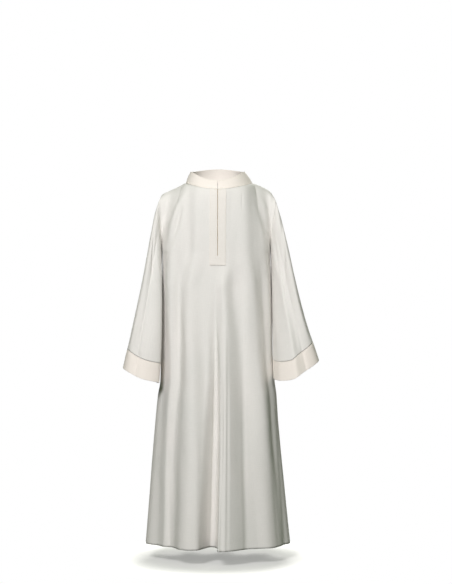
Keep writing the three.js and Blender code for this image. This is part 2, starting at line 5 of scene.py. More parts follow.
import bpy
import numpy as np
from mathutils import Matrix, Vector


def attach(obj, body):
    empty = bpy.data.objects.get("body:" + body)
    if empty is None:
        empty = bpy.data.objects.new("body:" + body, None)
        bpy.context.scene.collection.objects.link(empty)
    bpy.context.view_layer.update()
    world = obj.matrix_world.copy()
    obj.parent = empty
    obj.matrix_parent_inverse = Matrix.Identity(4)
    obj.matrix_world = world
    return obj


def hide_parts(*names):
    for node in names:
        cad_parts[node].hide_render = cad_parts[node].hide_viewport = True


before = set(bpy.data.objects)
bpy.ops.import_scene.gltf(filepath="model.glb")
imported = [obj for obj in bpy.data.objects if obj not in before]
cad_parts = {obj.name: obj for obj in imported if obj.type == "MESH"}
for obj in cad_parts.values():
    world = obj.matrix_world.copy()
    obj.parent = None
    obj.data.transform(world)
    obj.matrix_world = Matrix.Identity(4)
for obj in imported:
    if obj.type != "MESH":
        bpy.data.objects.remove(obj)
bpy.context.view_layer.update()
MM = 0.001

# ---------------------------------------------------------------- sizes of the garment
CLOTH = 1.1
DOUBLE = 2.0
SEAM = 0.3
LAID = 0.4
HEM_Z, ARMPIT_Z = -1068.0, -200.0
ZIP_END_Z, PLACKET_END_Z = -213.0, -240.0
PLACKET_HALF, TAPE_HALF, SLIT_HALF = 24.0, 11.0, 1.1
CUFF_DEPTH = 57.0
FRONT, BACK = -1, 1
LEFT, RIGHT = -1, 1
CAMERA = (24.6, -5000.0, -318.0)
FLOOR_Z = -1116.0

BODY = [
    dict(z=-1068, left=216, right=217, front=150, back=160, square=2.35),
    dict(z=-942, left=206, right=204, front=143, back=150, square=2.35),
    dict(z=-822, left=197, right=192, front=136, back=142, square=2.35),
    dict(z=-702, left=187, right=181, front=129, back=134, square=2.4),
    dict(z=-625, left=179, right=176, front=125, back=129, square=2.4),
    dict(z=-588, left=172.5, right=171, front=123, back=127, square=2.4),
    dict(z=-520, left=170.5, right=165, front=120, back=123, square=2.4),
    dict(z=-450, left=169, right=163, front=117, back=118, square=2.45),
    dict(z=-342, left=167, right=161, front=113, back=111, square=2.5),
    dict(z=-200, left=166, right=157, front=110, back=101, square=2.5),
]
NECK = dict(left=96, right=104, front=94, back=74, pointZ=7, frontZ=-14, backZ=14)
SHOULDER = dict(left=168, right=164, tipZ=-29, crownLeft=-2, crownRight=4)
NECK_SHARE = 0.62
ARMHOLE = [
    dict(rise=0.0, left=166, right=157),
    dict(rise=0.25, left=168, right=158),
    dict(rise=0.5, left=171, right=163),
    dict(rise=0.75, left=174, right=170),
    dict(rise=0.9, left=174, right=172),
    dict(rise=1.0, left=168, right=164),
]
ARMHOLE_REACH = dict(front=54, back=58)

KNEE_Z, CHEST_Z = -702.0, -300.0
# A fold's line is an angle from the centre of its panel at the hem, the knee, the chest
# and where it has died out, at the height top. left and right are its half widths in
# degrees, hem, knee and chest how far it stands out there, and lean how far its crest
# moves sideways for each mm of that.
FRONT_FOLDS = [
    dict(at=-62, atKnee=-62, atChest=-67, atTop=-69, top=-130, left=24, right=34, hem=-21, knee=-12, chest=-3, lean=0),
    dict(at=-53, atKnee=-56, atChest=-56, atTop=-57, top=-90, left=18, right=13, hem=2, knee=7, chest=14, lean=0.3),
    dict(at=-41, atKnee=-44.5, atChest=-39.5, atTop=-28, top=-70, left=12, right=12, hem=-12, knee=-9, chest=-9, lean=0.1),
    dict(at=-21, atKnee=-22, atChest=-30.5, atTop=-19, top=-180, left=18, right=14, hem=25, knee=20, chest=8, lean=0),
    dict(at=-4.5, atKnee=-1, atChest=3, atTop=3, top=-240, left=11.5, right=11, hem=-46, knee=-31, chest=-2, lean=0.05),
    dict(at=6.5, atKnee=8, atChest=8, atTop=8, top=-236, left=12, right=20, hem=46, knee=31, chest=12, lean=-0.45),
    dict(at=21, atKnee=25, atChest=18, atTop=18, top=-236, left=13, right=14, hem=1, knee=-5, chest=-9, lean=0),
    dict(at=44, atKnee=41, atChest=35.5, atTop=28, top=-120, left=12, right=14, hem=7, knee=2, chest=6, lean=0.3),
    dict(at=53, atKnee=48, atChest=49, atTop=33, top=-110, left=15, right=18, hem=-1, knee=8, chest=2, lean=0.2),
    dict(at=70, atKnee=67.5, atChest=57, atTop=43, top=-110, left=20, right=15, hem=-14, knee=-6, chest=-8, lean=0.1),
]
BACK_FOLDS = [
    dict(at=-70, atKnee=-71, atChest=-72, atTop=-61, top=-150, left=12, right=12, hem=-24, knee=-13, chest=-2, lean=0.3),
    dict(at=-53, atKnee=-55, atChest=-57, atTop=-48, top=-120, left=14, right=9, hem=20, knee=13, chest=4, lean=0.4),
    dict(at=-37, atKnee=-38, atChest=-36, atTop=-31, top=-100, left=9, right=14, hem=-36, knee=-24, chest=-8, lean=-0.3),
    dict(at=-20, atKnee=-20, atChest=-21, atTop=-18, top=-110, left=9, right=12, hem=18, knee=12, chest=5, lean=-0.3),
    dict(at=-5, atKnee=-7, atChest=-7, atTop=-6, top=-140, left=12, right=9, hem=-30, knee=-18, chest=-5, lean=0.2),
    dict(at=9, atKnee=8, atChest=9, atTop=8, top=-110, left=8, right=11, hem=18, knee=12, chest=4, lean=-0.2),
    dict(at=25, atKnee=26, atChest=25, atTop=21, top=-90, left=13, right=9, hem=-38, knee=-25, chest=-9, lean=0.3),
    dict(at=41, atKnee=41, atChest=40, atTop=34, top=-120, left=9, right=14, hem=20, knee=13, chest=5, lean=-0.4),
    dict(at=62, atKnee=61, atChest=60, atTop=51, top=-130, left=12, right=12, hem=-27, knee=-17, chest=-5, lean=0.2),
]
SLEEVE_SQUARE = 2.3
SLEEVE_END = {
    LEFT: dict(out=227, y=-36, z=-564, rx=49, ry=76, turn=12, riseOut=0.46, riseBack=0.1),
    RIGHT: dict(out=230.5, y=-62, z=-545, rx=62, ry=66, turn=-26, riseOut=0.46, riseBack=0.28),
}
# How far each sleeve bows out sideways and forwards on its way down, how far its outer
# front corner and each side's inner one are filled out forwards, and how far each
# side's inner corner reaches in front of the body.
SLEEVE_BOW = [
    dict(along=0.0, left=0, right=0, deep=0, square=0, cornerLeft=0, cornerRight=0, innerLeft=0, innerRight=0),
    dict(along=0.04, left=3, right=1, deep=6, square=3, cornerLeft=3, cornerRight=1, innerLeft=1, innerRight=0),
    dict(along=0.1, left=5, right=2, deep=9, square=6, cornerLeft=6, cornerRight=3, innerLeft=3, innerRight=0),
    dict(along=0.25, left=2, right=-2, deep=9, square=11, cornerLeft=10, cornerRight=6, innerLeft=9, innerRight=-4),
    dict(along=0.5, left=-4, right=-10, deep=9, square=14, cornerLeft=14, cornerRight=9, innerLeft=16, innerRight=-9),
    dict(along=0.75, left=-3, right=-10, deep=6, square=14, cornerLeft=16, cornerRight=11, innerLeft=21, innerRight=-12),
    dict(along=1.0, left=0, right=0, deep=0, square=8, cornerLeft=12, cornerRight=10, innerLeft=20, innerRight=-12),
]
SLEEVE_FOLDS = {
    LEFT: [
        dict(at=60, atEnd=74, half=40, mid=-5, end=-3),
        dict(at=30, atEnd=26, half=34, mid=3, end=2),
        dict(at=-70, atEnd=-60, half=36, mid=-8, end=-4),
        dict(at=-128, atEnd=-118, half=30, mid=5, end=3),
    ],
    RIGHT: [
        dict(at=112, atEnd=104, half=26, mid=-6, end=-3),
        dict(at=50, atEnd=42, half=36, mid=6, end=4),
        dict(at=-64, atEnd=-70, half=34, mid=-8, end=-4),
        dict(at=-122, atEnd=-126, half=30, mid=5, end=2),
    ],
}
COLLAR_TOP = dict(left=80, right=79, front=80, back=70, pointZ=43, frontZ=12, backZ=55)
COLLAR_SLIT = 1.2

# Creases laid over the folds: each runs from (x0, z0) down to (x1, z1) as seen from its
# own side, bowed sideways by bow at its middle. half0 and half1 are half its width at
# the two ends, out its height (a trough below zero), and peak where it is strongest.
FRONT_CREASES = [
    dict(x0=-88, z0=-4, x1=-150, z1=-185, bow=-8, half0=13, half1=17, out=4.0, peak=0.35),
    dict(x0=-108, z0=-30, x1=-157, z1=-215, bow=10, half0=11, half1=15, out=-4.5, peak=0.4),
    dict(x0=-70, z0=-50, x1=-88, z1=-260, bow=-4, half0=24, half1=22, out=-4.0, peak=0.6),
    dict(x0=112, z0=-34, x1=150, z1=-185, bow=4, half0=12, half1=14, out=-3.5, peak=0.45),
    dict(x0=128, z0=-30, x1=153, z1=-130, bow=4, half0=11, half1=12, out=2.5, peak=0.4),
    dict(x0=72, z0=-16, x1=72, z1=-84, bow=0, half0=4, half1=5, out=-0.8, peak=0.4),
    dict(x0=27, z0=-300, x1=27, z1=-1066, bow=3, half0=4, half1=6, out=-2.4, peak=0.7),
    dict(x0=-1, z0=-440, x1=-11, z1=-1066, bow=0, half0=10, half1=15, out=-9.0, peak=0.45),
    dict(x0=14, z0=-430, x1=10, z1=-1066, bow=0, half0=10, half1=13, out=-6.0, peak=0.5),
    dict(x0=158, z0=-560, x1=188, z1=-1066, bow=0, half0=10, half1=14, out=3.5, peak=0.5),
    dict(x0=-58, z0=-640, x1=-62, z1=-1066, bow=0, half0=14, half1=18, out=3.0, peak=0.7),
    dict(x0=-146, z0=-640, x1=-142, z1=-1066, bow=0, half0=9, half1=11, out=-2.0, peak=0.8),
    dict(x0=74, z0=-430, x1=84, z1=-1066, bow=-3, half0=9, half1=12, out=-1.8, peak=0.7),
]
BACK_CREASES = [
    dict(x0=92, z0=-20, x1=146, z1=-210, bow=8, half0=12, half1=16, out=4.5, peak=0.35),
    dict(x0=108, z0=-42, x1=154, z1=-235, bow=-8, half0=10, half1=14, out=-5.0, peak=0.45),
    dict(x0=-88, z0=-16, x1=-150, z1=-200, bow=-8, half0=12, half1=15, out=5.0, peak=0.4),
    dict(x0=-106, z0=-44, x1=-157, z1=-220, bow=9, half0=9, half1=14, out=-5.0, peak=0.45),
    dict(x0=-30, z0=-20, x1=-46, z1=-330, bow=-4, half0=20, half1=20, out=-4.0, peak=0.6),
    dict(x0=44, z0=-24, x1=60, z1=-360, bow=5, half0=18, half1=22, out=-4.5, peak=0.6),
    dict(x0=8, z0=-60, x1=4, z1=-420, bow=0, half0=22, half1=22, out=3.0, peak=0.5),
    dict(x0=-120, z0=-420, x1=-130, z1=-1066, bow=3, half0=9, half1=11, out=-4.0, peak=0.7),
    dict(x0=-66, z0=-380, x1=-72, z1=-900, bow=4, half0=8, half1=10, out=3.2, peak=0.6),
    dict(x0=22, z0=-500, x1=26, z1=-1066, bow=-3, half0=7, half1=9, out=-3.4, peak=0.75),
    dict(x0=108, z0=-380, x1=118, z1=-1066, bow=3, half0=9, half1=12, out=-3.8, peak=0.7),
    dict(x0=160, z0=-600, x1=170, z1=-1066, bow=0, half0=8, half1=10, out=3.0, peak=0.8),
]
# Sleeve creases: round is the angle from the outer line, front side above zero, at the
# two ends, and t the part of the way down.
SLEEVE_CREASES = {
    LEFT: [
        dict(r0=35, t0=0.02, r1=128, t1=0.5, half=17, out=-3.0, peak=0.4),
        dict(r0=100, t0=0.06, r1=150, t1=0.5, half=18, out=3.0, peak=0.4),
        dict(r0=70, t0=0.36, r1=60, t1=0.98, half=16, out=-2.4, peak=0.6),
        dict(r0=96, t0=0.55, r1=90, t1=0.99, half=10, out=2.0, peak=0.6),
        dict(r0=20, t0=0.1, r1=14, t1=0.7, half=17, out=-2.4, peak=0.4),
        dict(r0=-40, t0=0.02, r1=-126, t1=0.55, half=13, out=-5.0, peak=0.4),
        dict(r0=-96, t0=0.3, r1=-84, t1=0.98, half=11, out=3.0, peak=0.6),
        dict(r0=-30, t0=0.3, r1=-36, t1=0.95, half=12, out=-3.5, peak=0.6),
        dict(r0=176, t0=0.2, r1=150, t1=0.7, half=12, out=-2.5, peak=0.5),
    ],
    RIGHT: [
        dict(r0=30, t0=0.02, r1=120, t1=0.52, half=17, out=-3.0, peak=0.35),
        dict(r0=88, t0=0.03, r1=136, t1=0.55, half=18, out=3.2, peak=0.35),
        dict(r0=54, t0=0.34, r1=40, t1=0.97, half=16, out=-2.6, peak=0.6),
        dict(r0=84, t0=0.5, r1=96, t1=0.99, half=15, out=1.6, peak=0.6),
        dict(r0=22, t0=0.88, r1=44, t1=1.0, half=10, out=-2.0, peak=0.6),
        dict(r0=-36, t0=0.02, r1=-120, t1=0.5, half=13, out=-5.0, peak=0.4),
        dict(r0=-90, t0=0.3, r1=-96, t1=0.98, half=11, out=3.0, peak=0.6),
        dict(r0=-28, t0=0.35, r1=-40, t1=0.95, half=12, out=-3.5, peak=0.6),
        dict(r0=-150, t0=0.25, r1=-160, t1=0.8, half=12, out=-2.5, peak=0.5),
    ],
}

# How finely the cloth is divided.
COLS, ROWS = ((216, 212))
SLEEVE_COLS, SLEEVE_ROWS = ((168, 150))
CUFF_ROWS = 18
COLLAR_COLS, COLLAR_ROWS = ((280, 16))


# ---------------------------------------------------------------- reading the tables
def rad(deg):
    return np.asarray(deg) * (math.pi / 180)


def mix(a, b, t):
    return a + (b - a) * t


def read(rows, key, at, column):
    """The value of a named column at a key, on a smooth curve through the rows."""
    k = np.array([float(r[key]) for r in rows])
    v = np.array([float(r[column]) for r in rows])
    if k[0] > k[-1]:
        k, v = k[::-1], v[::-1]
    n = len(k)
    slope = np.array(
        [
            (v[min(j + 1, n - 1)] - v[max(j - 1, 0)])
            / (k[min(j + 1, n - 1)] - k[max(j - 1, 0)])
            for j in range(n)
        ]
    )
    at = np.clip(np.asarray(at, float), k[0], k[-1])
    i = np.clip(np.searchsorted(k, at, side="right") - 1, 0, n - 2)
    h = k[i + 1] - k[i]
    t = (at - k[i]) / h
    t2, t3 = t * t, t * t * t
    return (
        (2 * t3 - 3 * t2 + 1) * v[i]
        + (t3 - 2 * t2 + t) * h * slope[i]
        + (-2 * t3 + 3 * t2) * v[i + 1]
        + (t3 - t2) * h * slope[i + 1]
    )


def along(z, hem, knee, chest, end, top):
    low = mix(hem, knee, (z - HEM_Z) / (KNEE_Z - HEM_Z))
    high = mix(knee, chest, (z - KNEE_Z) / (CHEST_Z - KNEE_Z))
    last = mix(chest, end, np.clip((z - CHEST_Z) / (top - CHEST_Z), 0, 1))
    return np.where(z < KNEE_Z, low, np.where(z < CHEST_Z, high, last))


def bump(r):
    return np.where(np.abs(r) < 1, (1 + np.cos(np.pi * np.clip(r, -1, 1))) / 2, 0.0)


def smooth(a, b, x):
    t = np.clip((x - a) / (b - a), 0, 1)
    return t * t * (3 - 2 * t)


# ---------------------------------------------------------------- the body
def skirt(face, deg, z):
    deg, z = np.broadcast_arrays(np.asarray(deg, float), np.asarray(z, float))
    name = "front" if face < 0 else "back"
    half = np.where(
        deg < 0, read(BODY, "z", z, "left"), read(BODY, "z", z, "right")
    )
    reach = read(BODY, "z", z, name)
    n = read(BODY, "z", z, "square")
    s = np.sin(rad(deg))
    a = np.minimum(1, np.abs(s))
    x = half * s
    y = face * reach * np.maximum(0, 1 - a**n) ** (1 / n)
    nx = np.sign(s) * a ** (n - 1) / half
    ny = face * (np.abs(y) / reach) ** (n - 1) / reach
    length = np.hypot(nx, ny) + 1e-12
    nx, ny = nx / length, ny / length
    out, lean = np.zeros_like(x), np.zeros_like(x)
    for f in FRONT_FOLDS if face < 0 else BACK_FOLDS:
        at = along(z, f["at"], f["atKnee"], f["atChest"], f["atTop"], f["top"])
        size = along(z, f["hem"], f["knee"], f["chest"], 0, f["top"])
        b = bump((deg - at) / np.where(deg < at, f["left"], f["right"]))
        out = out + size * b
        lean = lean + f["lean"] * size * b
    edge = 1 - (np.abs(deg) / 90) ** 10
    out, lean = out * edge, lean * edge
    tx, ty = (-ny, nx) if face < 0 else (ny, -nx)
    return np.stack([x + nx * out + tx * lean, y + ny * out + ty * lean, z], -1)


def top_edge(face, deg):
    deg = np.asarray(deg, float)
    a, s = np.abs(deg) / 90, np.where(deg < 0, -1.0, 1.0)
    neck = np.where(deg < 0, NECK["left"], NECK["right"])
    tip = np.where(deg < 0, SHOULDER["left"], SHOULDER["right"])
    crown = np.where(deg < 0, SHOULDER["crownLeft"], SHOULDER["crownRight"])
    reach = NECK["front" if face < 0 else "back"]
    centre = NECK["frontZ" if face < 0 else "backZ"]
    b = rad(np.minimum(a / NECK_SHARE, 1) * 90)
    k = np.clip((a - NECK_SHARE) / (1 - NECK_SHARE), 0, 1)
    inner = np.stack(
        [
            s * neck * np.sin(b),
            face * reach * np.cos(b),
            mix(centre, NECK["pointZ"], np.sin(b) ** 2),
        ],
        -1,
    )
    outer = np.stack(
        [
            s * mix(neck, tip, k),
            0 * k,
            mix(NECK["pointZ"], SHOULDER["tipZ"], k) + crown * np.sin(np.pi * k),
        ],
        -1,
    )
    return np.where((a <= NECK_SHARE)[..., None], inner, outer)


def yoke(face, deg, turn):
    deg, turn = np.broadcast_arrays(np.asarray(deg, float), np.asarray(turn, float))
    low, top = skirt(face, deg, ARMPIT_Z + 0 * deg), top_edge(face, deg)
    t, c = np.sin(rad(turn)), np.cos(rad(turn))
    w = (t + 1 - c) / 2
    s, a = np.where(deg < 0, -1.0, 1.0), np.abs(deg) / 90
    arm = np.where(
        deg < 0, read(ARMHOLE, "rise", t, "left"), read(ARMHOLE, "rise", t, "right")
    )
    edge = arm - mix(low[..., 0] * s, top[..., 0] * s, w)
    x = mix(low[..., 0], top[..., 0], w) + s * edge * a**7
    y0 = np.abs(mix(top[..., 1], low[..., 1], np.maximum(c, 0) ** 0.8))
    power = np.where(turn < 45, 0.7, 1.1)
    reach = (
        ARMHOLE_REACH["front" if face < 0 else "back"]
        * (a**3 - 0.22 * np.maximum(0, a * 8 - 7))
        * np.maximum(0, np.sin(rad(2 * turn))) ** power
    )
    y = face * (y0**4 + reach**4) ** 0.25
    return np.stack([x, y, mix(low[..., 2], top[..., 2], t)], -1)


def panel_columns(face, count):
    """Column angles that cut the hem into equal lengths, with one on each edge that is needed."""
    fine = np.linspace(-90, 90, 1441)
    p = skirt(face, fine, HEM_Z)
    sums = np.concatenate(
        [[0], np.cumsum(np.hypot(*(p[1:, :2] - p[:-1, :2]).T))]
    )
    out = np.interp(np.linspace(0, sums[-1], count + 1), sums, fine)
    # half of the spacing stays even in angle, so that the yoke has enough columns too
    out = 0.6 * out + 0.4 * np.linspace(-90, 90, count + 1)
    out[0], out[-1] = -90, 90
    if face == FRONT:
        for x in (-PLACKET_HALF, -SLIT_HALF, SLIT_HALF, PLACKET_HALF):
            deg = deg_at(x)
            out[np.argmin(np.abs(out - deg))] = deg
    return out


def deg_at(x):
    half = BODY[-1]["left" if x < 0 else "right"]
    return math.degrees(math.asin(x / half))


def grid_normals(g, loop=False):
    """Unit normals of a grid of points, rows first. loop joins the last column to the first."""
    if loop:
        du = np.roll(g, -1, 1) - np.roll(g, 1, 1)
    else:
        du = np.gradient(g, axis=1)
    dv = np.gradient(g, axis=0)
    n = np.cross(du, dv)
    return n / (np.linalg.norm(n, axis=-1, keepdims=True) + 1e-12)


def crease_field(creases, x, z):
    out = np.zeros_like(x)
    for c in creases:
        if abs(c["z1"] - c["z0"]) < abs(c["x1"] - c["x0"]):  # it runs across
            t = (x - c["x0"]) / (c["x1"] - c["x0"])
            gap = z - mix(c["z0"], c["z1"], t) - c["bow"] * np.sin(np.pi * np.clip(t, 0, 1))
        else:
            t = (z - c["z0"]) / (c["z1"] - c["z0"])
            gap = x - mix(c["x0"], c["x1"], t) - c["bow"] * np.sin(np.pi * np.clip(t, 0, 1))
        half = mix(c["half0"], c["half1"], np.clip(t, 0, 1))
        rise = smooth(0, c["peak"], t) * smooth(1.0, min(0.999, max(c["peak"], 0.55)), t)
        if c["z1"] < HEM_Z + 5:  # it runs out through the hem
            rise = smooth(0, c["peak"], t)
        out += c["out"] * rise * bump(gap / half)
    return out


def drift(a, b, seed, sizes):
    """Soft unevenness: a few crossed waves, the same each run."""
    rng = np.random.RandomState(seed)
    out = np.zeros_like(a)
    for length, height in sizes:
        for _ in range(3):
            turn = rng.uniform(-0.5, 0.5)
            phase = rng.uniform(0, 2 * np.pi, 2)
            u = a * math.cos(turn) + b * math.sin(turn) * 0.35
            out += (
                height
                / 3
                * np.sin(2 * np.pi * u / length + phase[0] + 1.3 * np.sin(2 * np.pi * b / (length * 6) + phase[1]))
            )
    return out


def panel(face):
    """A panel's outer face as a grid of points in mm, with its column angles and, for each row, its height."""
    degs = panel_columns(face, COLS)
    low = int(ROWS * 0.72)
    z = np.linspace(HEM_Z, ARMPIT_Z, low + 1)
    turns = np.linspace(0, 90, ROWS - low + 1)[1:]
    g = np.concatenate(
        [skirt(face, degs[None, :], z[:, None]), yoke(face, degs[None, :], turns[:, None])]
    )
    n = grid_normals(g) * (1 if face < 0 else -1)
    x, zz = g[..., 0], g[..., 2]
    a = np.abs(degs)[None, :] / 90
    d = crease_field(FRONT_CREASES if face < 0 else BACK_CREASES, x, zz)
    arc = np.concatenate([[0], np.cumsum(np.linalg.norm(np.diff(g[ROWS // 3], axis=0), axis=1))])
    u = arc[None, :] + 0 * x
    d += drift(u, zz, 11 if face < 0 else 12, [(150, 1.5), (64, 0.7)]) * smooth(-60, -420, zz)
    d += drift(u, zz, 21 if face < 0 else 22, [(90, 0.8)]) * smooth(-420, -60, zz)
    # calm along the seams and the neck, and under the placket
    rise = np.concatenate([0 * z, turns / 90])[:, None]
    calm = 1 - a**9
    calm = calm * np.where(a < NECK_SHARE + 0.05, 1 - smooth(0.93, 1.0, rise), 1 - smooth(0.9, 1.0, rise))
    if face < 0:
        on_strip = (1 - smooth(PLACKET_HALF + 1, PLACKET_HALF + 16, np.abs(x))) * smooth(
            PLACKET_END_Z - 40, PLACKET_END_Z - 4, zz
        )
        calm = calm * (1 - on_strip)
    d *= calm
    # the seams draw the cloth in a little
    armhole = np.exp(-((1 - a) / 0.02) ** 1) * smooth(-210, -190, zz)
    pucker = np.sin(zz / 4.1 + 2 * np.sin(zz / 17)) * 0.35 * armhole * calm
    d += pucker
    return degs, g + n * d[..., None]


# ---------------------------------------------------------------- meshes
def make_object(name, verts, faces, uvs=None, shade=True):
    me = bpy.data.meshes.new(name)
    me.from_pydata([tuple(v) for v in verts], [], faces)
    me.update()
    if uvs is not None:
        layer = me.uv_layers.new(name="UVMap")
        loops = np.empty(len(me.loops), dtype=np.int32)
        me.loops.foreach_get("vertex_index", loops)
        layer.data.foreach_set("uv", np.asarray(uvs, dtype=np.float32)[loops].ravel())
    ob = bpy.data.objects.new(name, me)
    bpy.context.scene.collection.objects.link(ob)
    if shade:
        me.polygons.foreach_set("use_smooth", [True] * len(me.polygons))
    return ob


def arc_uvs(g, loop=False):
    """UVs in metres along the rows and columns of a grid in metres."""
    mid = g.shape[0] // 2
    row = g[mid]
    du = np.concatenate([[0], np.cumsum(np.linalg.norm(np.diff(row, axis=0), axis=1))])
    dv = np.concatenate([[0], np.cumsum(np.linalg.norm(np.diff(g, axis=0), axis=2).mean(1))])
    u, v = np.broadcast_arrays(du[None, :], dv[:, None])
    return np.stack([u, v], -1)


def sheet_mesh(name, g, loop=False, flip=False, skip=None):
    """One face of cloth through a grid in mm. skip(i, j) leaves a cell out."""
    g = g * MM
    rows, cols = g.shape[:2]
    if loop:  # a doubled last column keeps the UVs whole, and is merged below
        g = np.concatenate([g, g[:, :1]], 1)
        cols += 1
    uv = arc_uvs(g).reshape(-1, 2)
    faces = []
    for i in range(rows - 1):
        for j in range(cols - 1):
            if skip is not None and skip(i, j):
                continue
            a, b, c, d = i * cols + j, i * cols + j + 1, (i + 1) * cols + j + 1, (i + 1) * cols + j
            faces.append((a, d, c, b) if flip else (a, b, c, d))
    ob = make_object(name, g.reshape(-1, 3), faces, uv)
    if loop:
        import bmesh

        bm = bmesh.new()
        bm.from_mesh(ob.data)
        bmesh.ops.remove_doubles(bm, verts=bm.verts, dist=1e-7)
        bm.to_mesh(ob.data)
        bm.free()
    return ob


def thicken(ob, thickness, bevel=0.0, offset=-1):
    m = ob.modifiers.new("wall", "SOLIDIFY")
    m.thickness = thickness * MM
    m.offset = offset
    m.use_even_offset = False
    m.use_rim = True
    if bevel:
        b = ob.modifiers.new("edge", "BEVEL")
        b.width = bevel * MM
        b.segments = 3
        b.limit_method = "ANGLE"
        b.angle_limit = math.radians(50)
        b.harden_normals = False
    return ob


# ---------------------------------------------------------------- materials
def node(tree, kind, at=(0, 0), **values):
    n = tree.nodes.new(kind)
    n.location = at
    for k, v in values.items():
        if k in n.inputs:
            n.inputs[k].default_value = v
        else:
            setattr(n, k, v)
    return n


def cloth_material(name, colour, shade, pitch=0.00055, weave=0.00006, sheen=0.25, rough=0.82, slub=1.0):
    """A fine plain weave on the piece's own UVs, in metres, with slubs and a soft cloudiness."""
    mat = bpy.data.materials.new(name)
    mat.use_nodes = True
    t = mat.node_tree
    t.nodes.clear()
    out = node(t, "ShaderNodeOutputMaterial", (900, 0))
    p = node(t, "ShaderNodeBsdfPrincipled", (600, 0))
    t.links.new(p.outputs["BSDF"], out.inputs["Surface"])
    p.inputs["Roughness"].default_value = rough
    p.inputs["Sheen Weight"].default_value = sheen
    p.inputs["Sheen Roughness"].default_value = 0.45
    p.inputs["Sheen Tint"].default_value = (1.0, 0.97, 0.9, 1)
    p.inputs["Specular IOR Level"].default_value = 0.25
    p.inputs["Subsurface Weight"].default_value = 0.0
    uv = node(t, "ShaderNodeUVMap", (-1100, 0))
    uv.uv_map = "UVMap"
    # threads: warp and weft as two crossed sets of waves
    scale = node(t, "ShaderNodeMapping", (-900, 120))
    scale.inputs["Scale"].default_value = (1, 1, 1)
    t.links.new(uv.outputs["UV"], scale.inputs["Vector"])
    waves = []
    for k, direction in enumerate(("X", "Y")):
        w = node(t, "ShaderNodeTexWave", (-650, 250 - 260 * k))
        w.wave_type = "BANDS"
        w.bands_direction = direction
        w.wave_profile = "SIN"
        w.inputs["Scale"].default_value = 1 / pitch / 20 * 2 * math.pi / 2
        w.inputs["Distortion"].default_value = 0.6
        w.inputs["Detail"].default_value = 1.0
        t.links.new(scale.outputs["Vector"], w.inputs["Vector"])
        waves.append(w)
    both = node(t, "ShaderNodeMath", (-420, 120))
    both.operation = "MAXIMUM"
    t.links.new(waves[0].outputs["Fac"], both.inputs[0])
    t.links.new(waves[1].outputs["Fac"], both.inputs[1])
    # slubs: thicker stretches of thread, long one way and thin the other
    slubs = []
    for k, size in enumerate(((900, 40, 1), (45, 800, 1))):
        m = node(t, "ShaderNodeMapping", (-900, -200 - 220 * k))
        m.inputs["Scale"].default_value = size
        t.links.new(uv.outputs["UV"], m.inputs["Vector"])
        s = node(t, "ShaderNodeTexNoise", (-650, -300 - 220 * k))
        s.inputs["Scale"].default_value = 1.0
        s.inputs["Detail"].default_value = 2.0
        t.links.new(m.outputs["Vector"], s.inputs["Vector"])
        slubs.append(s)
    slub_sum = node(t, "ShaderNodeMath", (-420, -260))
    slub_sum.operation = "ADD"
    t.links.new(slubs[0].outputs["Fac"], slub_sum.inputs[0])
    t.links.new(slubs[1].outputs["Fac"], slub_sum.inputs[1])
    # cloudiness of the dye, in object space
    coord = node(t, "ShaderNodeTexCoord", (-1100, -700))
    cloud = node(t, "ShaderNodeTexNoise", (-650, -740))
    cloud.inputs["Scale"].default_value = 7.0
    cloud.inputs["Detail"].default_value = 3.0
    t.links.new(coord.outputs["Object"], cloud.inputs["Vector"])
    ramp = node(t, "ShaderNodeMapRange", (-200, -260))
    ramp.inputs["From Min"].default_value = 0.7
    ramp.inputs["From Max"].default_value = 1.3
    t.links.new(slub_sum.outputs[0], ramp.inputs["Value"])
    c1 = node(t, "ShaderNodeMix", (50, -60))
    c1.data_type = "RGBA"
    c1.inputs[6].default_value = (*shade, 1)
    c1.inputs[7].default_value = (*colour, 1)
    t.links.new(ramp.outputs["Result"], c1.inputs[0])
    c2 = node(t, "ShaderNodeMix", (300, -60))
    c2.data_type = "RGBA"
    c2.blend_type = "MULTIPLY"
    c2.inputs[0].default_value = 0.35
    t.links.new(c1.outputs[2], c2.inputs[6])
    cr = node(t, "ShaderNodeValToRGB", (20, -420))
    cr.color_ramp.elements[0].position = 0.3
    cr.color_ramp.elements[0].color = (0.9, 0.92, 0.9, 1)
    cr.color_ramp.elements[1].position = 0.7
    cr.color_ramp.elements[1].color = (1.0, 0.985, 0.97, 1)
    t.links.new(cloud.outputs["Fac"], cr.inputs["Fac"])
    t.links.new(cr.outputs["Color"], c2.inputs[7])
    t.links.new(c2.outputs[2], p.inputs["Base Color"])
    # bump: the weave, then the slubs on it
    b1 = node(t, "ShaderNodeBump", (50, 320))
    b1.inputs["Strength"].default_value = 0.5
    b1.inputs["Distance"].default_value = weave
    t.links.new(both.outputs[0], b1.inputs["Height"])
    b2 = node(t, "ShaderNodeBump", (300, 320))
    b2.inputs["Strength"].default_value = 0.6 * slub
    b2.inputs["Distance"].default_value = 0.00012
    t.links.new(slub_sum.outputs[0], b2.inputs["Height"])
    t.links.new(b1.outputs["Normal"], b2.inputs["Normal"])
    t.links.new(b2.outputs["Normal"], p.inputs["Normal"])
    return mat


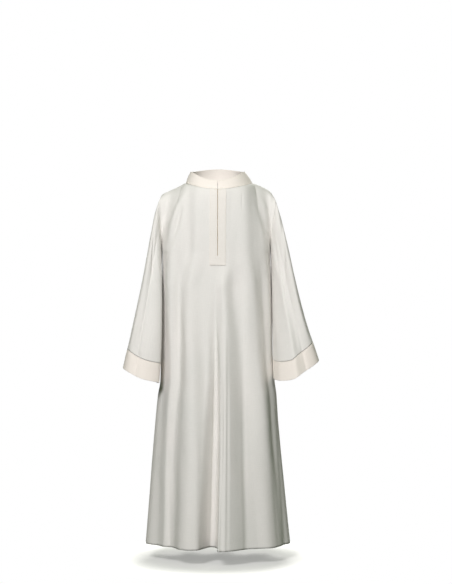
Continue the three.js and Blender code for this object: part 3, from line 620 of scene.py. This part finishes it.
def plain_material(name, colour, rough, spec=0.3):
    """Thread or moulded plastic: one colour with a fine unevenness."""
    mat = bpy.data.materials.new(name)
    mat.use_nodes = True
    t = mat.node_tree
    p = next(n for n in t.nodes if n.type == "BSDF_PRINCIPLED")
    p.inputs["Roughness"].default_value = rough
    p.inputs["Specular IOR Level"].default_value = spec
    coord = node(t, "ShaderNodeTexCoord", (-900, 0))
    s = node(t, "ShaderNodeTexNoise", (-650, 0))
    s.inputs["Scale"].default_value = 900.0
    s.inputs["Detail"].default_value = 2.0
    t.links.new(coord.outputs["Object"], s.inputs["Vector"])
    c = node(t, "ShaderNodeMix", (-250, 0))
    c.data_type = "RGBA"
    c.inputs[6].default_value = (*[v * 0.86 for v in colour], 1)
    c.inputs[7].default_value = (*colour, 1)
    t.links.new(s.outputs["Fac"], c.inputs[0])
    t.links.new(c.outputs[2], p.inputs["Base Color"])
    return mat


IVORY = cloth_material("ivory_cloth", (0.80, 0.78, 0.76), (0.75, 0.735, 0.71))
BAND = cloth_material("ivory_band", (0.90, 0.84, 0.795), (0.86, 0.80, 0.745), pitch=0.0005)
STRIP = cloth_material("ivory_placket", (0.835, 0.80, 0.765), (0.79, 0.755, 0.715), pitch=0.0005)
TAPE = cloth_material("zip_tape", (0.84, 0.75, 0.62), (0.78, 0.68, 0.54), pitch=0.0007, sheen=0.1)
THREAD = plain_material("thread", (0.80, 0.75, 0.65), 0.6)
CHAIN = plain_material("zip_chain", (0.84, 0.73, 0.57), 0.35, 0.5)


def finish_piece(ob, slot_name, material, *nodes):
    ob.data.materials.clear()
    ob.data.materials.append(material)
    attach(ob, "root")
    if nodes:
        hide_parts(*nodes)
    return ob


# ---------------------------------------------------------------- camera, light, floor
SKY = 0.18
SKY_COLOUR = (0.8, 1.0, 0.62, 1)
LIGHTS = [  # name, place, aimed at (m), size (m), power (W), colour
    ("key", (-0.9, -3.5, 1.45), (0, 0, -0.22), 1.1, 141, (1.0, 0.975, 0.99)),
    ("front_fill", (1.3, -4.0, 0.9), (0, 0, -0.15), 1.4, 24, (1.0, 0.985, 0.97)),
    ("back_key", (0.7, 3.5, 1.3), (0, 0, -0.25), 2.2, 150, (1.0, 0.98, 0.965)),
]
FLOOR_RADIUS = 0.4
# the floor's glow: dimmed near the garment as a painted shadow pool, full strength further off
FLOOR_GLOW_AND_PAINTED_SHADE = (0.35, 1.0, (1.0, 1.0, 0.97, 1))  # near the garment, further off, colour


def set_stage():
    scene = bpy.context.scene
    cam_data = bpy.data.cameras.new("camera")
    cam_data.lens = 5000 / 3 * 36 / 584
    cam_data.sensor_width = 36
    cam_data.clip_end = 60
    cam = bpy.data.objects.new("camera", cam_data)
    cam.location = [v * MM for v in CAMERA]
    cam.rotation_euler = (math.radians(90), 0, 0)
    scene.collection.objects.link(cam)
    scene.camera = cam

    world = bpy.data.worlds.new("world")
    scene.world = world
    world.use_nodes = True
    t = world.node_tree
    t.nodes.clear()
    out = node(t, "ShaderNodeOutputWorld", (400, 0))
    seen = node(t, "ShaderNodeBackground", (0, 120))
    seen.inputs["Color"].default_value = (1, 1, 1, 1)
    seen.inputs["Strength"].default_value = 1.0
    # a dim room: soft light from above, almost none from below
    lit = node(t, "ShaderNodeBackground", (0, -60))
    lit.inputs["Color"].default_value = SKY_COLOUR
    where = node(t, "ShaderNodeTexCoord", (-700, -200))
    split = node(t, "ShaderNodeSeparateXYZ", (-500, -200))
    t.links.new(where.outputs["Generated"], split.inputs["Vector"])
    rise = node(t, "ShaderNodeMapRange", (-300, -200))
    rise.inputs["From Min"].default_value = -0.12
    rise.inputs["From Max"].default_value = 0.3
    rise.inputs["To Min"].default_value = 0.02
    rise.inputs["To Max"].default_value = SKY
    t.links.new(split.outputs["Z"], rise.inputs["Value"])
    t.links.new(rise.outputs["Result"], lit.inputs["Strength"])
    ray = node(t, "ShaderNodeLightPath", (0, 320))
    m = node(t, "ShaderNodeMixShader", (200, 0))
    t.links.new(ray.outputs["Is Camera Ray"], m.inputs[0])
    t.links.new(lit.outputs[0], m.inputs[1])
    t.links.new(seen.outputs[0], m.inputs[2])
    t.links.new(m.outputs[0], out.inputs["Surface"])

    def area(name, at, to, size, watts, colour):
        data = bpy.data.lights.new(name, "AREA")
        data.shape = "DISK"
        data.size = size
        data.energy = watts
        data.color = colour
        ob = bpy.data.objects.new(name, data)
        ob.location = at
        ob.rotation_euler = (Vector(to) - Vector(at)).to_track_quat("-Z", "Y").to_euler()
        scene.collection.objects.link(ob)

    for name, at, to, size, watts, colour in LIGHTS:
        area(name, at, to, size, watts, colour)

    # a round pale floor that glows as white as a lit studio floor looks, its glow dimmed near the garment as a painted
    # shadow pool
    floor_mat = bpy.data.materials.new("floor")
    floor_mat.use_nodes = True
    p = next(n for n in floor_mat.node_tree.nodes if n.type == "BSDF_PRINCIPLED")
    p.inputs["Base Color"].default_value = (0.5, 0.5, 0.49, 1)
    p.inputs["Roughness"].default_value = 0.95
    p.inputs["Specular IOR Level"].default_value = 0.1
    p.inputs["Emission Color"].default_value = FLOOR_GLOW_AND_PAINTED_SHADE[2]
    ft = floor_mat.node_tree
    fc = node(ft, "ShaderNodeTexCoord", (-900, -300))
    fl = node(ft, "ShaderNodeVectorMath", (-700, -300))
    fl.operation = "LENGTH"
    flat = node(ft, "ShaderNodeVectorMath", (-800, -300))
    flat.operation = "MULTIPLY"
    flat.inputs[1].default_value = (1, 1, 0)
    ft.links.new(fc.outputs["Object"], flat.inputs[0])
    ft.links.new(flat.outputs[0], fl.inputs[0])
    # painted shade: the glow falls from full strength further off to about a third near the garment
    painted_shade_ramp = node(ft, "ShaderNodeMapRange", (-500, -300))
    painted_shade_ramp.interpolation_type = "SMOOTHSTEP"
    painted_shade_ramp.inputs["From Min"].default_value = 0.2
    painted_shade_ramp.inputs["From Max"].default_value = FLOOR_RADIUS - 0.03
    painted_shade_ramp.inputs["To Min"].default_value = FLOOR_GLOW_AND_PAINTED_SHADE[0]
    painted_shade_ramp.inputs["To Max"].default_value = FLOOR_GLOW_AND_PAINTED_SHADE[1]
    ft.links.new(fl.outputs["Value"], painted_shade_ramp.inputs["Value"])
    ft.links.new(painted_shade_ramp.outputs["Result"], p.inputs["Emission Strength"])
    verts = [(0, 0, FLOOR_Z * MM)]
    faces = []
    segments = 96
    for k in range(segments):
        a = 2 * math.pi * k / segments
        verts.append((FLOOR_RADIUS * math.cos(a), FLOOR_RADIUS * math.sin(a), FLOOR_Z * MM))
        faces.append((0, 1 + k, 1 + (k + 1) % segments))
    floor = make_object("floor", verts, faces)
    floor.data.materials.append(floor_mat)
    floor.visible_diffuse = False  # its glow is for the eye and lights no cloth
    scene.view_settings.view_transform = "Standard"
    scene.view_settings.look = "None"
    scene.view_settings.exposure = 0.0


set_stage()

# ---------------------------------------------------------------- front and back
front_degs, front_grid = panel(FRONT)
back_degs, back_grid = panel(BACK)
j_slit = int(np.argmin(np.abs(front_degs - deg_at(-SLIT_HALF))))


def in_slit(i, j):
    return j == j_slit and front_grid[i, j, 2] > ZIP_END_Z


front_out = front_grid + np.array([0, -SEAM / 2, 0])
back_out = back_grid + np.array([0, SEAM / 2, 0])
front = sheet_mesh("front_cloth", front_out, skip=in_slit)
back = sheet_mesh("back_cloth", back_out, flip=True)
thicken(front, CLOTH)
thicken(back, CLOTH)
finish_piece(front, "cloth", IVORY, "front_panel")
finish_piece(back, "cloth", IVORY, "back_panel")


# ---------------------------------------------------------------- placket and zip
def strip_grid(g, x_half, z_end, by, short):
    """The front's own points within x_half of the centre and above z_end, moved out."""
    n = grid_normals(g)
    j0 = int(np.argmin(np.abs(front_degs - deg_at(-x_half))))
    j1 = int(np.argmin(np.abs(front_degs - deg_at(x_half))))
    i0 = int(np.argmin(np.abs(g[:, (j0 + j1) // 2, 2] - z_end)))
    part = (g + n * by)[i0:, j0 : j1 + 1].copy()
    # the lower edge lies exactly on z_end, and the upper one a little short of the neck
    part[0] += (part[1] - part[0]) * ((z_end - part[0, :, 2]) / (part[1, :, 2] - part[0, :, 2]))[:, None]
    up = part[-1] - part[-2]
    part[-1] -= up / np.linalg.norm(up, axis=-1, keepdims=True) * short
    return part, j0


placket_grid, j_first = strip_grid(front_out, PLACKET_HALF, PLACKET_END_Z, LAID + 1.1, 0.9)
j_in_strip = j_slit - j_first


def in_placket_slit(i, j):
    return j == j_in_strip and placket_grid[i, j, 2] > ZIP_END_Z


placket = sheet_mesh("placket_strip", placket_grid, skip=in_placket_slit)
thicken(placket, 1.0, 0.4)
finish_piece(placket, "band", STRIP, "placket")


# ---------------------------------------------------------------- sleeves and cuffs
def armhole_ring(side, count):
    """The armhole edges of the two panels as one even ring, from the shoulder tip down the front."""
    j = 0 if side < 0 else -1
    low = int(ROWS * 0.72)
    f = front_out[low:, j][::-1]
    b = back_out[low:, j]
    ring = np.concatenate([f, b[1:-1]])
    closed = np.concatenate([ring, ring[:1]])
    s = np.concatenate([[0], np.cumsum(np.linalg.norm(np.diff(closed, axis=0), axis=1))])
    # the same share of columns for the front and the back as in the panels
    at = np.linspace(0, s[-1], count + 1)[:-1]
    ring = np.stack([np.interp(at, s, closed[:, k]) for k in range(3)], -1)
    return ring + np.array([side * (SEAM + 0.25), 0, 0])


def sleeve_end(side, count):
    e = SLEEVE_END[side]
    turn = rad(e["turn"]) * side * -1
    a = np.linspace(0, 2 * np.pi, 1441)
    c, s = np.cos(a), np.sin(a)
    size = (np.abs(c) ** SLEEVE_SQUARE + np.abs(s) ** SLEEVE_SQUARE) ** (-1 / SLEEVE_SQUARE)
    u, v = e["rx"] * c * size, -e["ry"] * s * size
    out = u * np.cos(turn) - v * np.sin(turn)
    y = u * np.sin(turn) + v * np.cos(turn)
    p = np.stack(
        [side * (e["out"] + out), e["y"] + y, e["z"] + e["riseOut"] * out + e["riseBack"] * y], -1
    )
    d = np.concatenate([[0], np.cumsum(np.linalg.norm(np.diff(p, axis=0), axis=1))])
    at = np.linspace(0, d[-1], count + 1)[:-1]
    return np.stack([np.interp(at, d, p[:, k]) for k in range(3)], -1)


def sleeve_points(side, ring, end, t):
    """Points of the sleeve for each column, t (rows, columns) from 0 at the armhole to 1 at its end."""
    count = len(ring)
    name = "left" if side < 0 else "right"
    round_ = np.arange(count) / count * 360
    c, s = np.cos(rad(round_))[None, :], np.sin(rad(round_))[None, :]
    p = ring[None] * (1 - t[..., None]) + end[None] * t[..., None]
    out = np.zeros_like(t)
    for f in SLEEVE_FOLDS[side]:
        at = mix(f["at"], f["atEnd"], t)
        gap = (round_[None, :] - at + 540) % 360 - 180
        size = np.where(
            t < 0.5, f["mid"] * np.sin(np.pi * np.clip(t, 0, 1)), mix(f["mid"], f["end"], (t - 0.5) * 2)
        )
        out = out + size * bump(gap / f["half"])
    p[..., 0] += side * read(SLEEVE_BOW, "along", t, name) * np.maximum(0, c) ** 1.5
    p[..., 1] -= read(SLEEVE_BOW, "along", t, "deep") * s
    front = np.maximum(0, s)
    fill = np.where(
        c > 0, read(SLEEVE_BOW, "along", t, "square"), read(SLEEVE_BOW, "along", t, "corner" + name.capitalize())
    )
    p[..., 1] -= fill * 2 * front * np.abs(c)
    inner = read(SLEEVE_BOW, "along", t, "inner" + name.capitalize())
    p[..., 0] -= side * inner * 5.6 * front**2 * np.maximum(0, -c) ** 3
    p[..., 0] += side * c * out
    p[..., 1] -= s * out
    return p


def sleeve_detail(side, t, count):
    round_ = np.arange(count)[None, :] / count * 360 + 0 * t
    d = np.zeros_like(t)
    for c in SLEEVE_CREASES[side]:
        k = (t - c["t0"]) / (c["t1"] - c["t0"])
        gap = (round_ - mix(c["r0"], c["r1"], k) + 540) % 360 - 180
        d += c["out"] * smooth(0, c["peak"], k) * smooth(1.0, c["peak"], k) * bump(gap / c["half"])
    d += drift(round_ * 1.2, t * 400, 31 if side < 0 else 32, [(108, 1.1), (54, 0.5)])
    # small puckers where the sleeve is eased into the armhole
    d += 0.5 * np.exp(-t / 0.03) * np.sin(round_ / 360 * 2 * np.pi * 34 + 3 * np.sin(round_ / 40))
    return d * smooth(0, 0.012, t)


def sleeve(side):
    name = "left" if side < 0 else "right"
    count = SLEEVE_COLS
    ring, end = armhole_ring(side, count), sleeve_end(side, count)
    length = np.linalg.norm(end - ring, axis=1)[None, :]
    k = (np.linspace(0, 1, SLEEVE_ROWS + 1) ** 1.25)[:, None]
    t = k * (1 - (CUFF_DEPTH + SEAM + 0.25) / length)
    g = sleeve_points(side, ring, end, t)
    n = grid_normals(g, loop=True)
    centre = g.mean(1, keepdims=True)
    if ((g - centre) * n).sum(-1)[SLEEVE_ROWS // 2].mean() < 0:
        n = -n
    d = sleeve_detail(side, t, count)
    # keep clear of the body: no swelling on the side towards it
    inward = np.clip(-n[..., 0] * side, 0, 1)
    d = np.where(d > 0, d * (1 - inward), d)
    d *= 1 - smooth(0.94, 1.0, k)
    g2 = g + n * d[..., None]
    flip = (np.cross(np.roll(g, -1, 1) - g, np.roll(g, -1, 0) - g) * n).sum(-1)[SLEEVE_ROWS // 2].mean() < 0
    cloth = sheet_mesh(f"sleeve_{name}_cloth", g2, loop=True, flip=flip)
    thicken(cloth, CLOTH)
    finish_piece(cloth, "cloth", IVORY, f"sleeve_{name}")

    kc = np.linspace(0, 1, CUFF_ROWS + 1)[:, None]
    tc = 1 - CUFF_DEPTH / length * (1 - kc)
    gc = sleeve_points(side, ring, end, tc)
    nc = grid_normals(gc, loop=True)
    centre = gc.mean(1, keepdims=True)
    if ((gc - centre) * nc).sum(-1)[CUFF_ROWS // 2].mean() < 0:
        nc = -nc
    round_ = np.arange(count)[None, :] / count * 360 + 0 * tc
    dc = drift(round_ * 1.2, tc * 400, 41 if side < 0 else 42, [(140, 0.9), (60, 0.35)]) * smooth(0, 0.3, kc)
    dc += 0.5 * smooth(0, 0.12, kc)  # the doubled cloth stands a little proud
    inward = np.clip(-nc[..., 0] * side, 0, 1)
    dc = np.where(dc > 0, dc * (1 - inward), dc)
    gc2 = gc + nc * dc[..., None]
    flip = (np.cross(np.roll(gc, -1, 1) - gc, np.roll(gc, -1, 0) - gc) * nc).sum(-1)[CUFF_ROWS // 2].mean() < 0
    band = sheet_mesh(f"cuff_{name}_band", gc2, loop=True, flip=flip)
    thicken(band, DOUBLE, 0.7)
    finish_piece(band, "band", BAND, f"cuff_{name}")
    return cloth, band, g2, gc2, nc


left_sleeve, left_cuff, left_grid, left_cuff_grid, left_cuff_n = sleeve(LEFT)
right_sleeve, right_cuff, right_grid, right_cuff_grid, right_cuff_n = sleeve(RIGHT)


# ---------------------------------------------------------------- collar
def collar_edge(e, deg):
    s, c = np.sin(rad(deg)), np.cos(rad(deg))
    half = np.where(deg < 0, e["left"], e["right"])
    y = np.where(c > 0, -e["front"] * c, -e["back"] * c)
    z = mix(np.where(c > 0, e["frontZ"], e["backZ"]), e["pointZ"], s * s)
    return np.stack([half * s, y, z], -1)


def collar_grid():
    slit = math.degrees(COLLAR_SLIT / 2 / NECK["left"])
    deg = np.linspace(slit, 360 - slit, COLLAR_COLS + 1)
    deg = np.where(deg > 180, deg - 360, deg)
    t = np.linspace(0, 1, COLLAR_ROWS + 1)[:, None, None]
    a, b = collar_edge(NECK, deg)[None], collar_edge(COLLAR_TOP, deg)[None]
    g = a * (1 - t) + b * t
    g[..., 2] += (SEAM + 0.2) * (1 - t[..., 0])
    return deg, g


collar_degs, collar_g = collar_grid()
collar_n = grid_normals(collar_g)
if (collar_n[..., :2] * collar_g[..., :2]).sum() < 0:
    collar_n = -collar_n
kk = np.linspace(0, 1, COLLAR_ROWS + 1)[:, None]
dd = drift(collar_degs[None, :] * 1.6 + 0 * kk, kk * 40, 51, [(150, 0.9), (70, 0.4)]) * smooth(0, 0.4, kk)
dd = dd + 1.2 * np.sin(np.pi * kk) ** 1.2  # the doubled band rolls outwards a little
collar_g2 = collar_g + collar_n * dd[..., None]
collar_flip = (np.cross(collar_g[1:, 1:] - collar_g[1:, :-1], collar_g[1:, 1:] - collar_g[:-1, 1:]) * collar_n[1:, 1:]).sum() < 0
collar = sheet_mesh("collar_band", collar_g2, flip=collar_flip)
thicken(collar, DOUBLE, 0.7)
finish_piece(collar, "band", BAND, "collar")


# ---------------------------------------------------------------- zip
def zip_piece():
    n = grid_normals(front_out)
    tape, _ = strip_grid(front_out, TAPE_HALF, ZIP_END_Z + 1, -(CLOTH + LAID + 0.3), 6)
    ob = sheet_mesh("zip_tape", tape)
    thicken(ob, 0.7)
    finish_piece(ob, "zip", TAPE, "zip")
    # the closed chain: two rows of small hooks that meet on the centre line
    mid = (front_out[:, j_slit] + front_out[:, j_slit + 1]) / 2
    nn = (n[:, j_slit] + n[:, j_slit + 1]) / 2
    keep = mid[:, 2] > ZIP_END_Z + 2
    mid, nn = mid[keep][:-1], nn[keep][:-1]
    s = np.concatenate([[0], np.cumsum(np.linalg.norm(np.diff(mid, axis=0), axis=1))])
    verts, faces = [], []
    pitch = 1.3
    for k in range(int((s[-1] - 4) / pitch)):
        at = (k + 0.5) * pitch
        p = np.array([np.interp(at, s, mid[:, i]) for i in range(3)])
        q = np.array([np.interp(at, s, nn[:, i]) for i in range(3)])
        up = np.array([np.interp(at + 0.2, s, mid[:, i]) for i in range(3)]) - p
        up /= np.linalg.norm(up)
        side = 1 if k % 2 else -1
        right = np.array([1.0, 0, 0])
        c = p - q * 0.5 + right * side * 0.25
        base = len(verts)
        ring = 6
        for end, (w, h) in enumerate(((0.45, 0.42), (0.62, 0.52), (0.45, 0.42))):
            cc = c + right * (end - 1) * 0.42
            for m in range(ring):
                a = 2 * math.pi * m / ring
                verts.append((cc + up * math.cos(a) * w * 0.8 + q * math.sin(a) * h) * MM)
        for end in range(2):
            for m in range(ring):
                a, b = base + end * ring + m, base + end * ring + (m + 1) % ring
                faces.append((a, b, b + ring, a + ring))
        faces.append(tuple(base + m for m in reversed(range(ring))))
        faces.append(tuple(base + 2 * ring + m for m in range(ring)))
    chain = make_object("zip_chain", verts, faces)
    finish_piece(chain, "zip", CHAIN)
    return ob, chain


zip_tape, zip_chain = zip_piece()


# ---------------------------------------------------------------- stitching
def stitches(name, lines, pitch=3.0, length=2.1, width=0.28):
    """Rows of small thread stitches: each line is (points, normals), in mm, on the cloth's face."""
    verts, faces = [], []
    for pts, nor in lines:
        pts, nor = np.asarray(pts), np.asarray(nor)
        s = np.concatenate([[0], np.cumsum(np.linalg.norm(np.diff(pts, axis=0), axis=1))])
        for k in range(int(s[-1] / pitch)):
            mid = (k + 0.5) * pitch
            row = []
            for u in (-0.5, -0.3, 0.3, 0.5):
                at = mid + u * length
                p = np.array([np.interp(at, s, pts[:, i]) for i in range(3)])
                q = np.array([np.interp(at, s, nor[:, i]) for i in range(3)])
                q /= np.linalg.norm(q) + 1e-9
                row.append((p, q, 0.02 if abs(u) > 0.4 else 0.16))
            d = row[3][0] - row[0][0]
            d /= np.linalg.norm(d) + 1e-9
            base = len(verts)
            for p, q, lift in row:
                w = np.cross(d, q)
                r = width * (0.35 if lift < 0.1 else 1.0)
                for a in range(4):
                    an = math.pi / 2 * a + math.pi / 4
                    verts.append((p + q * (lift + math.sin(an) * r * 0.7) + w * math.cos(an) * r) * MM)
            for e in range(3):
                for a in range(4):
                    i0, i1 = base + e * 4 + a, base + e * 4 + (a + 1) % 4
                    faces.append((i0, i1, i1 + 4, i0 + 4))
            faces.append((base + 3, base + 2, base + 1, base))
            faces.append((base + 12, base + 13, base + 14, base + 15))
    ob = make_object(name, verts, faces)
    finish_piece(ob, "band", THREAD)
    return ob


def on_grid(g, n, i_frac, j_frac):
    """Points of a grid at fractional rows and columns."""
    i_frac = np.clip(i_frac, 0, g.shape[0] - 1.001)
    j_frac = np.clip(j_frac, 0, g.shape[1] - 1.001)
    i, j = i_frac.astype(int), j_frac.astype(int)
    a, b = (i_frac - i)[:, None], (j_frac - j)[:, None]

    def at(x):
        return (
            x[i, j] * (1 - a) * (1 - b) + x[i + 1, j] * a * (1 - b) + x[i, j + 1] * (1 - a) * b + x[i + 1, j + 1] * a * b
        )

    return at(g), at(n)


def stitch_all():
    lines = []
    # placket: down each side of the opening, along the edges, and across the end
    pn = grid_normals(placket_grid)
    rows, cols = placket_grid.shape[:2]
    xs = placket_grid[0, :, 0]
    j_of = lambda x: np.interp(x, xs, np.arange(cols))
    i_of = lambda z: np.interp(z, placket_grid[:, cols // 2, 2], np.arange(rows))
    for x in (-PLACKET_HALF + 2, -6, 6, PLACKET_HALF - 2):
        z_low = PLACKET_END_Z + 2 if abs(x) > 10 else ZIP_END_Z - 8
        i = np.linspace(i_of(z_low), rows - 1.6, 120)
        lines.append(on_grid(placket_grid, pn, i, np.full(120, j_of(x))))
    j = np.linspace(j_of(-PLACKET_HALF + 2), j_of(PLACKET_HALF - 2), 60)
    lines.append(on_grid(placket_grid, pn, np.full(60, i_of(PLACKET_END_Z + 2)), j))
    j = np.linspace(j_of(-6), j_of(6), 30)
    lines.append(on_grid(placket_grid, pn, np.full(30, i_of(ZIP_END_Z - 8)), j))
    # cuffs: one line just under the seam
    for g, n in ((left_cuff_grid, left_cuff_n), (right_cuff_grid, right_cuff_n)):
        gl = np.concatenate([g, g[:, :1]], 1)
        nl = np.concatenate([n, n[:, :1]], 1)
        j = np.linspace(0, gl.shape[1] - 1.001, 500)
        for share in (0.045,):
            lines.append(on_grid(gl, nl, np.full(500, share * (g.shape[0] - 1)), j))
    # collar: one line along the seam and one under the top edge
    cols = collar_g2.shape[1]
    j = np.linspace(2, cols - 3, 700)
    for share in (0.09, 0.93):
        lines.append(on_grid(collar_g2, collar_n, np.full(700, share * COLLAR_ROWS), j))
    return stitches("topstitching", lines)


topstitching = stitch_all()


# hem: a line of stitches a hem's depth above the edge, front and back
def hem_line(g, n):
    z = HEM_Z + 24
    rows = g.shape[0]
    i = np.interp(z, g[:, g.shape[1] // 2, 2], np.arange(rows))
    j = np.linspace(0.2, g.shape[1] - 1.2, 900)
    return on_grid(g, n, np.full(900, i), j)


hem_stitching = stitches(
    "hem_stitching",
    [hem_line(front_out, grid_normals(front_out)), hem_line(back_out, -grid_normals(back_out))],
    pitch=3.4,
    length=1.6,
    width=0.2,
)
